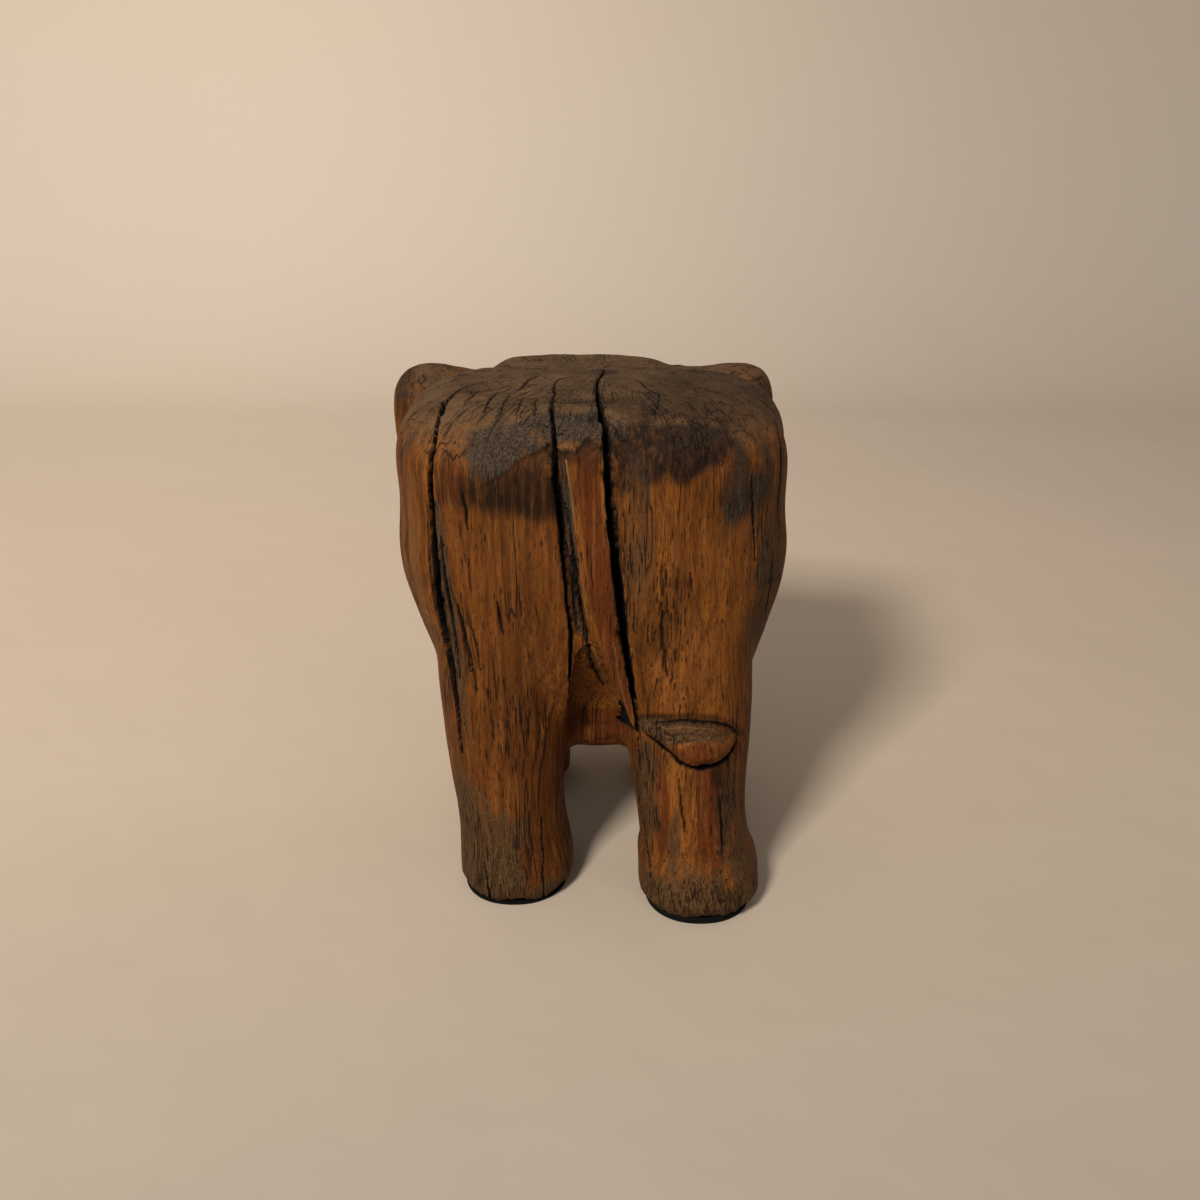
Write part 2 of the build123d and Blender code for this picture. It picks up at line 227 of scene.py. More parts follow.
def eye_marks(side, middle):
    """The lids of one eye: two raised lines about its middle, and a crease above them."""
    view = f"{side}_cheek"
    above = ((-15, -1, 1.6), (-8, 7.5, 2.6), (0, 10, 3), (8, 7.5, 2.6), (15, -2, 1.6))
    below = ((-15, -1, 1.6), (-8, -7.5, 2.2), (0, -9.5, 2.4), (8, -8, 2.2), (15, -2, 1.6))
    crease = ((-18, 3, 1.4), (-9, 12, 2.2), (0, 15, 2.6), (10, 12, 2.2), (18, 2, 1.4))
    for line, wide, deep in ((above, 1.8, -1.6), (below, 1.6, -1.3), (crease, 1.2, 1.3)):
        line = tuple((middle[0] + a, middle[1] + b, width * wide) for a, b, width in line)
        yield fold(view, line, deep, "stain", 0.5 if deep > 0 else 0)


# The toenails of a foot, as (across from its middle, top, half width), and where they start
TOENAILS = ((-26, 15, 6), (0, 17, 8), (26, 15, 6))
NAIL_FOOT = 3


def toenail_marks(foot_middle):
    """Three toenails on the front of a foot: an arched groove round each, seen from the front."""
    for across, top, half in TOENAILS:
        middle = foot_middle + across
        shoulder, shoulder_up = half * 0.85, top * 0.65
        line = ((middle - half, NAIL_FOOT, 2.6), (middle - shoulder, shoulder_up, 2.8), (middle, top, 3),
                (middle + shoulder, shoulder_up, 2.8), (middle + half, NAIL_FOOT, 2.6))
        yield fold("front", line, 1.8, "stain", 0.7)
        nail = ((middle, NAIL_FOOT, half * 1.4), (middle, top * 0.6, half * 1.2))
        yield welt("front", nail, 1.4, 0.3)


# The trunk, in millimetres: where its rings lie, its middle and the height of its tip
RING_HEIGHTS = range(84, 262, 13)
TRUNK_MIDDLE = 8
TRUNK_TIP = 70


def trunk_rings():
    """The rings of the trunk. They sag in the middle, lean to and fro, and widen up the trunk."""
    for number, height in enumerate(RING_HEIGHTS):
        half = 15 + 0.10 * (height - TRUNK_TIP)
        sag = 3 + 0.02 * (height - TRUNK_TIP)
        lean = 1.5 * (-1) ** number
        line = ((TRUNK_MIDDLE - half, height + lean, 2), (TRUNK_MIDDLE, height - sag, 3.4),
                (TRUNK_MIDDLE + half, height - lean, 2))
        yield fold("front", line, 1.5, "stain", 0.55)


FACE_MARKS = (
    *eye_marks("left", (73, 318)),
    *eye_marks("right", (70, 318)),
    *trunk_rings(),
    *toenail_marks(-62),
    *toenail_marks(88),
    # The mouth, the fold under the brow and the folds where the legs leave the body
    *both_sides((
        fold("left_cheek", ((92, 262, 2), (84, 246, 4), (68, 240, 4), (50, 246, 2)), 2.4, "stain", 0.8),
        fold("left", ((28, 196, 2), (22, 178, 5), (24, 156, 6), (38, 140, 3)), 1.6, "stain", 0.5),
        fold("left", ((-66, 226, 2), (-52, 206, 5), (-44, 176, 6), (-42, 150, 3)), 1.8, "stain", 0.5),
        # The ear: a line inside its rim, and folds that fan out from its root
        fold("left", ((46, 372, 3), (38, 340, 4), (37, 280, 4), (42, 224, 4), (56, 184, 4), (66, 168, 2)),
             2, "stain", 0.6),
        fold("left", ((88, 366, 3), (95, 330, 4), (94, 280, 4), (86, 226, 4), (76, 186, 2)),
             2, "stain", 0.6),
        fold("left", ((62, 356, 3), (54, 310, 5), (52, 256, 5), (58, 214, 2)), 1.4, "stain", 0.3),
        fold("left", ((76, 350, 3), (78, 306, 5), (74, 262, 4), (70, 232, 2)), 1.4, "stain", 0.3),
    )),
)

TAIL_MARKS = (
    # The pale worn edge on its left, broken in places, and the fibres along its right
    welt("rear", ((-11, 368, 1.8), (-8, 348, 2.6), (-6, 330, 2.8), (-4, 312, 1.6)), 1, 0.75),
    welt("rear", ((-3, 304, 1.4), (-1, 288, 2.6), (1, 268, 2.4), (3, 250, 1.4)), 1, 0.6),
    welt("rear", ((7, 228, 1.6), (12, 205, 2.6), (21, 178, 2.8), (33, 154, 2.4)), 1.1, 0.55),
    welt("rear", ((12, 352, 1.4), (14, 330, 2), (15, 306, 1.4)), 0.7, 0.45),
    welt("rear", ((22, 232, 1.4), (27, 200, 2.2), (34, 170, 2.6), (37, 156, 1.6)), 0.9, 0.5),
    # The edge where the left leg turns in to the crotch
    welt("rear", ((-13, 226, 5), (-20, 190, 7), (-30, 150, 7), (-36, 110, 6), (-38, 74, 4)), 0.9),
)

TUFT_MARKS = (
    # The deep undercut below it, black as painted shadow, painted shade in the groove over it, and its
    # worn upper rim
    check("rear", ((47, 154.5, 1.2), (51, 152.5, 2.2), (58, 149, 3), (65, 144.5, 3.8), (72, 138, 4.6),
                   (80, 135, 5.2), (88, 133.8, 5.4), (96, 134.8, 5.2), (103, 137, 4.6), (110, 141.2, 3.4),
                   (116, 149, 1.6)), 5, 1),
    check("rear", ((54, 166.5, 1), (62, 168, 1.5), (72, 170.8, 1.8), (88, 169.3, 1.8), (101, 166, 1.6),
                   (109, 161, 1.4), (116, 152, 1.2)), 1.6, 0.95),
    welt("rear", ((58, 164.6, 1.4), (66, 165.6, 2), (73, 167.8, 2.2), (86, 166.3, 1.6), (96, 164.6, 1.4)),
         0.6, 0.42),
    # Wrinkles on its upper slope, the crease where its stalk ends, and one on its face
    check("rear", ((50, 163, 0.7), (62, 161.5, 1.2), (76, 164, 1), (88, 162, 0.6)), 0.9, 0.5),
    check("rear", ((60, 158, 0.6), (70, 160, 1), (84, 159, 0.6)), 0.8, 0.45),
    check("rear", ((53, 167, 0.8), (54, 161, 1.3), (53, 154, 0.9)), 1.2, 0.8),
    check("rear", ((92, 158, 0.6), (94, 150, 1), (94, 142, 0.6)), 0.7, 0.45),
)

# Wide hollows and bands of paint, which leave the skin's edges as they are
HOLLOWS = tuple(fold(*row) for row in (
    # The hollow beside the tail, its grey floor, the tail's red face and the tan fibres in it
    ("rear", ((-20, 374, 14), (-17, 353, 18), (-13, 324, 19), (-9, 295, 18), (-6, 264, 16),
     (-3, 238, 10)), 2.4, "stain", 0.62),
    ("rear", ((-14, 372, 7), (-11, 345, 9), (-9, 318, 10), (-7, 290, 11), (-5, 262, 10),
     (-2, 238, 7)), 0.2, "grey", 0.75),
    ("rear", ((2, 374, 20), (5, 345, 23), (8, 318, 23), (12, 290, 25), (15, 262, 24), (19, 234, 22),
     (25, 205, 18), (31, 180, 12), (35, 162, 6)), 1, "red", 1),
    ("rear", ((10, 372, 7), (12, 345, 7), (14, 318, 6), (17, 296, 4)), 0.2, "pale", 0.4),
    # Grey walls beside the left check, and a paler strip beyond it
    ("rear", ((-103, 330, 7), (-101, 300, 10), (-98, 260, 14), (-94, 220, 15), (-91, 185, 12),
     (-89, 150, 6)), 0.8, "grey", 0.85),
    ("rear", ((-122, 344, 12), (-125, 310, 18), (-123, 262, 18), (-115, 206, 10)), 0.2, "pale", 0.3),
    # The tuft's grey upper slope, and a halo of painted shade over it
    ("rear", ((42, 163, 16), (52, 162, 22), (62, 162, 24), (72, 164.5, 22), (84, 164.5, 20),
     (96, 162, 18), (104, 158.5, 14)), 0.1, "grey", 1),
    ("rear", ((44, 170, 10), (60, 170, 13), (74, 173, 13), (90, 171.5, 13), (104, 166, 12),
     (114, 158, 11), (120, 150, 8)), 0.4, "stain", 0.75),
    # The dark back of the left ear
    ("rear", ((-138, 391, 18), (-148, 386, 24), (-151, 372, 26), (-150, 352, 20), (-149, 330, 10)),
     0.1, "stain", 0.75),
    # Arcs of growth in the recess below the tail
    ("rear", ((-6, 158, 2.4), (8, 153, 3), (22, 158, 2)), 0.3, "stain", 0.5),
    ("rear", ((-8, 144, 2.6), (10, 138, 3.4), (28, 144, 2.4)), 0.3, "stain", 0.55),
    ("rear", ((-10, 130, 3), (10, 124, 4), (30, 130, 3)), 0.3, "stain", 0.6),
    # The front of each ear is hollowed
    ("front", ((-112, 352, 26), (-120, 300, 40), (-116, 244, 34), (-108, 200, 16)), 5, "stain", 0.35),
    ("front", ((110, 352, 26), (116, 300, 36), (114, 244, 32), (108, 200, 16)), 5, "stain", 0.35),
))

# Patches of paint, ovals with ragged edges, for each side and mask, as (across, up, reach across,
# reach up, strength)
PATCHES = {
    ("rear", "grey"): (
        # Under the crown and down the right haunch
        (-52, 368, 38, 23, 0.95), (-6, 384, 40, 12, 0.95), (60, 380, 46, 10, 0.3),
        (-122, 392, 24, 10, 0.5), (-140, 380, 26, 26, 0.5), (118, 330, 26, 50, 0.5),
        (146, 270, 34, 104, 0.7),
        # Beside the main check and left of the left one
        (38, 300, 14, 90, 0.55), (-114, 180, 9, 80, 0.6),
        # On the left leg and its foot, and on the right ones
        (-80, 24, 44, 74, 1), (-98, 76, 20, 52, 0.8), (-40, 4, 30, 20, 0.8), (92, 10, 70, 42, 0.95),
        (124, 44, 20, 40, 0.8), (47, 92, 11, 62, 0.85), (68, 66, 6, 50, 0.8), (112, 84, 14, 66, 0.55),
    ),
    # Painted light over the recess below the tail, where the left leg's shade falls
    ("rear", "pale"): ((2, 188, 18, 44, 0.42),),
    ("rear", "stain"): (
        # Under the crown, beside the tail and over the right ear
        (60, 370, 56, 22, 1), (30, 366, 18, 22, 0.75), (112, 344, 24, 34, 0.75),
        (-48, 343, 51, 24, 0.84), (-30, 348, 20, 30, 0.6), (-84, 340, 20, 20, 0.5),
        (152, 384, 20, 40, 0.6),
        # Down the haunch, round the tuft and down the legs
        (64, 250, 13, 52, 0.5), (56, 140, 9, 16, 0.6), (104, 124, 10, 18, 0.8), (108, 96, 10, 26, 0.6),
        (-66, 34, 16, 30, 0.55), (138, 40, 12, 40, 0.62),
    ),
    ("crown", "stain"): ((96, -60, 62, 84, 0.58), (60, -112, 80, 30, 0.62)),
    ("rear", "red"): (
        # Left of the left check, on the right leg, in the recess, on the left leg
        (-128, 262, 17, 92, 0.3), (96, 84, 16, 56, 1), (60, 92, 8, 46, 0.9), (33, 100, 7, 60, 0.75),
        (12, 134, 32, 22, 0.95), (-52, 40, 18, 40, 0.6), (-30, 120, 14, 80, 0.5),
        # Under the dark stains, and on the tuft's face
        (48, 350, 16, 20, 0.5), (-88, 352, 10, 26, 0.6), (80, 149, 20, 10, 0.8),
    ),
    ("rear", "spalt"): (
        # On the haunches
        (60, 244, 20, 66, 0.95), (30, 280, 12, 90, 0.8), (-46, 158, 20, 46, 0.9), (-74, 150, 14, 70, 0.5),
        (-104, 230, 10, 90, 0.7), (142, 270, 28, 100, 0.7),
        # On the legs and feet
        (46, 92, 14, 66, 0.9), (110, 80, 16, 70, 0.6), (-88, 30, 34, 56, 0.8), (88, 10, 60, 36, 0.9),
    ),
}

# A patch fades where the skin turns away from its side, and towards its ragged edge
FACING = (0.0, 0.55)
PATCH_FADE = (0.55, 1.2)
PATCH_RAGS = 0.4
PATCH_GRAIN = (13 * MM, 40 * MM)


def smooth_step(low, high, value):
    """0 below low, 1 above high, and a smooth rise between them."""
    share = min(1.0, max(0.0, (value - low) / (high - low)))
    return share * share * (3 - 2 * share)


def band(rise, fall, value):
    """0 below a rise, 1 between it and a fall, and 0 above that; each is given as (low, high)."""
    return smooth_step(*rise, value) * (1 - smooth_step(*fall, value))


def grain_noise(place, width, length):
    """A noise from -1 to 1 whose spots are this wide across the log and this long up it."""
    return noise.noise(Vector((place.x / width, place.y / width, place.z / length)))


def layers_of(shape):
    """The skin's layer for every mask."""
    return {name: shape.verts.layers.float[name] for name in MASKS}


def along_curve(line, gap):
    """Points every gap along the smooth curve through a line's points."""
    ends = [line[0], *line, line[-1]]
    for before, first, second, after in zip(ends, ends[1:], ends[2:], ends[3:]):
        steps = max(1, int(hypot(second[0] - first[0], second[1] - first[1]) / gap))
        for step in range(steps):
            t = step / steps
            yield [
                0.5 * (2 * q + (r - p) * t + (2 * p - 5 * q + 4 * r - s) * t ** 2
                       + (3 * q - p - 3 * r + s) * t ** 3)
                for p, q, r, s in zip(before, first, second, after)
            ]
    yield list(line[-1])


Dot = namedtuple("Dot", "place outward half mark")


def dots_of(marks, skin):
    """Dots close together along every mark, laid on the skin from the mark's own side."""
    dots = []
    for number, mark in enumerate(marks):
        across, up, look = VIEWS[mark.view]
        widest = max(width for _, _, width in mark.line)
        for a, b, width in along_curve(mark.line, max(DOT_GAP, widest / DOTS_PER_WIDTH)):
            drift = WANDER[mark.form] * noise.noise(Vector((a / WANDER_WAVE, b / WANDER_WAVE, number)))
            start = (across * (a + drift) + up * (b + drift / 2)) * MM - look
            place, outward, _, _ = skin.ray_cast(start, look)
            if place is not None:
                dots.append(Dot(place, outward, max(DOT_WIDTH, width) / 2 * MM, mark))
    return dots


def tree_of(dots):
    """A search tree over the places of dots."""
    tree = KDTree(len(dots))
    for number, dot in enumerate(dots):
        tree.insert(dot.place, number)
    tree.balance()
    return tree


def refine(shape, dots, ring):
    """Halves the skin's edges within a ring round the dots, so that their marks come out crisp."""
    tree = tree_of(dots)
    near = set()
    for vert in shape.verts:
        _, number, gap = tree.find(vert.co)
        if gap < dots[number].half + ring:
            near.add(vert)
    edges = [edge for edge in shape.edges if edge.verts[0] in near and edge.verts[1] in near]
    bmesh.ops.subdivide_edges(shape, edges=edges, cuts=1, use_grid_fill=True)


def cut(shape, marks):
    """Lays marks on the skin as it is now, presses them in and paints their masks."""
    dots = dots_of(marks, BVHTree.FromBMesh(shape))
    tree = tree_of(dots)
    layers = layers_of(shape)
    widest = max(dot.half * MASK_END[dot.mark.form] for dot in dots) + SEARCH_MARGIN
    moves = []
    for vert in shape.verts:
        deepest = {"steep": (0.0, None), "soft": (0.0, None)}
        for _, number, gap in tree.find_range(vert.co, widest):
            dot = dots[number]
            mark = dot.mark
            edge = gap / dot.half
            if edge < 1:
                deep = (1 - edge) ** 0.5 if mark.form == "steep" else (1 - edge * edge) ** 2
                deep *= mark.depth * MM
                if abs(deep) > abs(deepest[mark.form][0]):
                    deepest[mark.form] = (deep, dot.outward)
            if mark.strength:
                whole = MASK_CORE[mark.form] * dot.half
                end = MASK_END[mark.form] * dot.half + MASK_SPREAD[mark.form]
                paint = mark.strength * (1 - smooth_step(whole, end, gap))
                layer = layers[mark.mask]
                vert[layer] = max(vert[layer], paint)
        push = Vector((0, 0, 0))
        for deep, outward in deepest.values():
            if outward is not None:
                push -= outward * deep
        if push.length:
            moves.append((vert, push))
    for vert, push in moves:
        vert.co += push


# ---- The log ----


def linked(name, data):
    """A new object with this data, in the scene."""
    made = bpy.data.objects.new(name, data)
    bpy.context.scene.collection.objects.link(made)
    return made


def smooth_piece(name, shape):
    """A new, smoothly shaded piece of this shape, in the scene."""
    bmesh.ops.recalc_face_normals(shape, faces=shape.faces)
    mesh = bpy.data.meshes.new(name)
    shape.to_mesh(mesh)
    shape.free()
    mesh.shade_smooth()
    return linked(name, mesh)


def even_skin(node, reach, grid):
    """A node's shape as one even skin of small quads, with slots up to twice the reach wide closed."""
    shape = bmesh.new()
    shape.from_mesh(node.data)
    bmesh.ops.remove_doubles(shape, verts=shape.verts, dist=SAME_POINT)
    mesh = bpy.data.meshes.new("skin")
    shape.to_mesh(mesh)
    lump = linked("skin", mesh)
    for number, swell in enumerate((reach, -reach)):
        even = lump.modifiers.new(f"even_{number}", "REMESH")
        even.mode = "VOXEL"
        even.voxel_size = grid
        push = lump.modifiers.new(f"push_{number}", "DISPLACE")
        push.strength = swell
        push.mid_level = 0
    graph = bpy.context.evaluated_depsgraph_get()
    closed = bpy.data.meshes.new_from_object(lump.evaluated_get(graph))
    bpy.data.objects.remove(lump)
    shape.clear()
    shape.from_mesh(closed)
    return shape


# The lower edge of the weathered skin over the tail, as (across, up, step): by the step it stands
# proud of what is below. Below, a pair is where something starts and ends, in millimetres over it.
LEDGE = ((-94, 336, 0), (-74, 345, 0.5), (-56, 355, 0.9), (-43, 366, 1.3), (-21, 376, 2.2),
         (-14, 373, 2.4), (-5, 374, 2.8), (4, 379, 2.6), (14, 377, 2), (26, 381, 0))
LEDGE_RISE = (-0.8, 0.6)
LEDGE_FALL = (6, 28)
# The noises that make it ragged, as (length, start, height), and the skin that is to the rear
LEDGE_RAGS = ((7, 0, 2.2), (2.4, 5, 1.2))
REARWARD = -0.15
# Under it: the step at which the paint is whole, the grey that is cleared, less far beside the tail
# than left of it, a stain and a line of painted shadow under its step
LEDGE_STEP = 0.6
UNDER_FALL = (-1.0, 0.4)
CLEARED = (9, 44)
CLEARED_FADE = 6
TAIL_LEFT = -24
UNDER_STAIN = 0.75
STAIN_RISE = (-16, -5)
UNDER_SHADE = 0.22
SHADE_RISE = (-3.0, -1.0)
SHADE_FALL = (-0.6, 0.2)
# Its rim is worn pale where its step is higher than this
RIM_STEP = 1.9
RIM_PALE = 0.35
RIM_RISE = (-0.4, 0.4)
RIM_FALL = (0.6, 1.8)


def on_line(line, across):
    """What a line of points, each (across, ...), holds at a place across, or None beyond its ends."""
    for first, second in zip(line, line[1:]):
        if first[0] <= across <= second[0]:
            share = (across - first[0]) / (second[0] - first[0])
            return [p + (q - p) * share for p, q in zip(first[1:], second[1:])]
    return None


def crown_ledge(shape):
    """Raises the weathered skin above the ledge, pales its rim, stains what is under it and paints shade
    under its step.
    """
    layers = layers_of(shape)
    ink, pale, grey, stain = (layers[name] for name in ("ink", "pale", "grey", "stain"))
    for vert in shape.verts:
        across, up = vert.co.x / MM, vert.co.z / MM
        found = on_line(LEDGE, across) if vert.normal.y < REARWARD else None
        if found is None:
            continue
        line, step = found
        over = up - line
        for length, start, height in LEDGE_RAGS:
            over -= height * noise.noise(Vector((across / length, start, 0)))
        under = (1 - smooth_step(*UNDER_FALL, over)) * min(1.0, step / LEDGE_STEP)
        cleared = CLEARED[1] if across < TAIL_LEFT else CLEARED[0]
        vert[grey] *= 1 - under * smooth_step(-cleared, CLEARED_FADE - cleared, over)
        vert[stain] = max(vert[stain], UNDER_STAIN * under * smooth_step(*STAIN_RISE, over))
        # Painted shadow: a dark line just under the ledge, darker where its step is higher
        vert[ink] = UNDER_SHADE * step * band(SHADE_RISE, SHADE_FALL, over)
        vert[pale] = band(RIM_RISE, RIM_FALL, over) * max(0.0, RIM_PALE * (step - RIM_STEP))
        vert.co += vert.normal * step * band(LEDGE_RISE, LEDGE_FALL, over) * MM


# The tuft, a leaf seen from behind, as (across, lower edge, upper edge, how far it stands out)
TUFT = ((41, 158, 167, 0.5), (47, 156, 168, 3.5), (54, 153.5, 165, 5), (59, 151.3, 165.5, 7),
        (65, 147, 166.5, 9.5), (72, 141, 169, 11), (80, 138, 168.5, 11.5), (88, 137, 167.5, 11.5),
        (96, 138, 166, 11), (103, 140, 163, 9.5), (109, 143.5, 159, 7), (115, 150.5, 151.5, 1))
# How its edges break off, in millimetres over the lower and the upper one
LOWER_EDGE = (-0.9, 0.4)
UPPER_EDGE = (-0.3, 1.2)
# Its face rounds out from a lip, and drops away towards its upper edge, in shares of how far it
# stands out and of its height
TUFT_LIP = 0.55
TUFT_ROUND = (0, 0.3)
TUFT_DROP = 0.72
TUFT_SLOPE = (0.5, 1.05)
# The block that it is carved from, as (across, up), the skin that is the leg's rear, and how wide the
# block blends into it
TUFT_BLOCK = ((36, 122), (129, 186))
LEG_REAR = -120 * MM
TUFT_BLEND = 5


def tuft_form(shape):
    """Carves the tuft from its block: the leaf's outline, its round face and its upper slope."""
    skin = BVHTree.FromBMesh(shape)
    look = VIEWS["rear"][2]
    (left, right), (low, high) = TUFT_BLOCK
    for vert in shape.verts:
        across, up = vert.co.x / MM, vert.co.z / MM
        if vert.co.y > LEG_REAR or not (left < across < right and low < up < high):
            continue
        starts = (Vector((vert.co.x, -1, level * MM)) for level in (low, high))
        below, above = (skin.ray_cast(start, look)[0] for start in starts)
        leg = below.y + (above.y - below.y) * (up - low) / (high - low)
        out = 0.0
        found = on_line(TUFT, across)
        if found is not None:
            bottom, top, stand = found
            share = (up - bottom) / (top - bottom)
            face = TUFT_LIP + (1 - TUFT_LIP) * smooth_step(*TUFT_ROUND, share)
            slope = 1 - TUFT_DROP * smooth_step(*TUFT_SLOPE, share)
            inside = smooth_step(*LOWER_EDGE, up - bottom) * (1 - smooth_step(*UPPER_EDGE, up - top))
            out = stand * min(face, slope) * inside
        blend = band((left, left + TUFT_BLEND), (right - TUFT_BLEND, right), across)
        blend *= band((low, low + TUFT_BLEND), (high - TUFT_BLEND, high), up)
        vert.co.y += (leg - out * MM - vert.co.y) * blend


# The recess below the tail: the legs' face beside it as (up, along Y), the skin that is in it, and
# where and by how much it grows shallow
RECESS_FACE = ((142, -128), (156, -129.5), (172, -137), (188, -142.5), (204, -146.5), (220, -149.5),
               (242, -152))
RECESS_ACROSS = (-32, 38)
RECESS_BACK = -95
RECESS_RISE = (142, 224)
RECESS_SHALLOW = 0.9


def recess_form(shape):
    """Makes the recess below the tail run out to the surface at its top."""
    for vert in shape.verts:
        across, along, up = (value / MM for value in vert.co)
        found = on_line(RECESS_FACE, up)
        if found is None or not RECESS_ACROSS[0] < across < RECESS_ACROSS[1]:
            continue
        face = found[0]
        if face < along < RECESS_BACK:
            deep = (along - face) * MM
            vert.co.y -= deep * RECESS_SHALLOW * smooth_step(*RECESS_RISE, up)


# The feet: how high their flare reaches, and how far each flares in millimetres
FLARE_HEIGHT = (34 * MM, 54 * MM)
FLARES = {"hind_left": 0.8, "hind_right": 3.4, "front_left": 1.5, "front_right": 1.5}
# In shares of a foot's radius: how far out it reaches, and where its rim is
FOOT_REACH = 1.4
FOOT_RIM = (0.5, 0.85)
# The rim is drawn in at the sole, evenly and unevenly, in millimetres, and chipped
SOLE_ROUND = 9 * MM
DRAWN_IN = 2.2
DRAWN_UNEVEN = 1.6
CHIP_HEIGHT = 16 * MM
CHIP = 4 * MM
# The noises that vary it, one round the foot, which starts elsewhere for each radius, and a fine one,
# and their shares in the flare and in the chips
RIM_TURNS = 2.6
RADIUS_START = 40
FINE_WAVE = 5 * MM
FLARE_RAGS = 0.5
CHIP_RAGS = 1.2
CHIP_MORE = 0.1
CHIP_FINE = 0.5
# Lines along which the skin is refined for it
SOLE_LINES = (((-98, 6, 6), (-57, 6, 6), (-16, 6, 6)), ((49, 9, 6), (90, 9, 6), (132, 9, 6)))


def soles(shape):
    """Flares the feet, draws in the rims of their soles and chips them."""
    for foot, flare in FLARES.items():
        low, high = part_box(f"{foot}_foot_pad")
        middle = Vector(((low[0] + high[0]) / 2, (low[1] + high[1]) / 2, 0))
        radius = (high[0] - low[0]) / 2
        for vert in shape.verts:
            out = Vector((vert.co.x, vert.co.y, 0)) - middle
            if vert.co.z > FLARE_HEIGHT[1] or out.length > FOOT_REACH * radius:
                continue
            way = out.normalized()
            ragged = noise.noise(way * RIM_TURNS + Vector((0, 0, radius * RADIUS_START)))
            fine = noise.noise(Vector((vert.co.x, vert.co.y, 0)) / FINE_WAVE)
            rim = smooth_step(FOOT_RIM[0] * radius, FOOT_RIM[1] * radius, out.length)
            over = vert.co.z - high[2]
            wider = flare * (1 - smooth_step(*FLARE_HEIGHT, vert.co.z)) * (1 + FLARE_RAGS * ragged)
            drawn = (DRAWN_IN + DRAWN_UNEVEN * fine) * (1 - smooth_step(0, SOLE_ROUND, over))
            vert.co += way * rim * ((wider - drawn) * MM)
            lift = CHIP_RAGS * max(0, ragged + CHIP_MORE) + CHIP_FINE * max(0, fine)
            vert.co.z += CHIP * lift * rim * (1 - smooth_step(0, CHIP_HEIGHT, over))


# Waves, dents and fibres, as (width, length up the log, height in millimetres)
WEAR = ((30 * MM, 75 * MM, 0.9), (11 * MM, 30 * MM, 0.4), (3.5 * MM, 30 * MM, 0.22))


def wear(shape):
    """The wear of the adze and of use."""
    for vert in shape.verts:
        height = sum(tall * grain_noise(vert.co, width, length) for width, length, tall in WEAR)
        vert.co += vert.normal * height * MM


def paint(shape):
    """Paints the ovals of every patch into its mask."""
    layers = layers_of(shape)
    for vert in shape.verts:
        ragged = PATCH_RAGS * grain_noise(vert.co, *PATCH_GRAIN)
        for (view, mask), ovals in PATCHES.items():
            across, up, look = VIEWS[view]
            facing = smooth_step(*FACING, -vert.normal.dot(look))
            if facing == 0:
                continue
            layer = layers[mask]
            a = vert.co.dot(across) / MM
            b = vert.co.dot(up) / MM
            for middle_a, middle_b, reach_a, reach_b, strength in ovals:
                gap = hypot((a - middle_a) / reach_a, (b - middle_b) / reach_b)
                if gap < PATCH_FADE[1] + PATCH_RAGS:
                    value = strength * facing * (1 - smooth_step(*PATCH_FADE, gap + ragged))
                    vert[layer] = max(vert[layer], value)


def carved_elephant():
    """The carving: its even skin, marked, worn and painted with masks."""
    shape = even_skin(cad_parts["carved_log"], SLOT_CLOSING, GRID)
    for name in MASKS:
        shape.verts.layers.float.new(name)
    skin = BVHTree.FromBMesh(shape)
    rim = fold("rear", tuple((across, up, 3.0) for across, up, _ in LEDGE), 0)
    sole_rims = tuple(fold("rear", line, 0) for line in SOLE_LINES)
    wide_marks = TAIL_MARKS + TUFT_MARKS + FACE_MARKS + CHECKS + (rim, *sole_rims)
    refine(shape, dots_of(wide_marks, skin), FOLD_RING)
    refine(shape, dots_of(TAIL_MARKS + TUFT_MARKS + CHECKS + (rim,), skin), CHECK_RING)
    shape.normal_update()
    paint(shape)
    wear(shape)
    soles(shape)
    tuft_form(shape)
    recess_form(shape)
    cut(shape, HOLLOWS)
    shape.normal_update()
    crown_ledge(shape)
    cut(shape, TAIL_MARKS + TUFT_MARKS + FACE_MARKS)
    cut(shape, CHECKS)
    return smooth_piece("carved_elephant", shape)


# ---- Finishes ----


def tint(red, green, blue):
    """A colour given as it looks on a screen, from 0 to 255, as linear light."""
    values = []
    for value in (red, green, blue):
        share = value / 255
        values.append(share / 12.92 if share <= 0.04045 else ((share + 0.055) / 1.055) ** 2.4)
    return (*values, 1.0)


class Value:
    """A shader socket that takes part in arithmetic; every operation adds a Math node."""

    def __init__(self, finish, socket):
        self.finish = finish
        self.socket = socket

    def __add__(self, other):
        return self.finish.math("ADD", self, other)

    def __radd__(self, other):
        return self.finish.math("ADD", other, self)

    def __sub__(self, other):
        return self.finish.math("SUBTRACT", self, other)

    def __rsub__(self, other):
        return self.finish.math("SUBTRACT", other, self)

    def __mul__(self, other):
        return self.finish.math("MULTIPLY", self, other)

    def __rmul__(self, other):
        return self.finish.math("MULTIPLY", other, self)

    def __pow__(self, other):
        return self.finish.math("POWER", self, other)


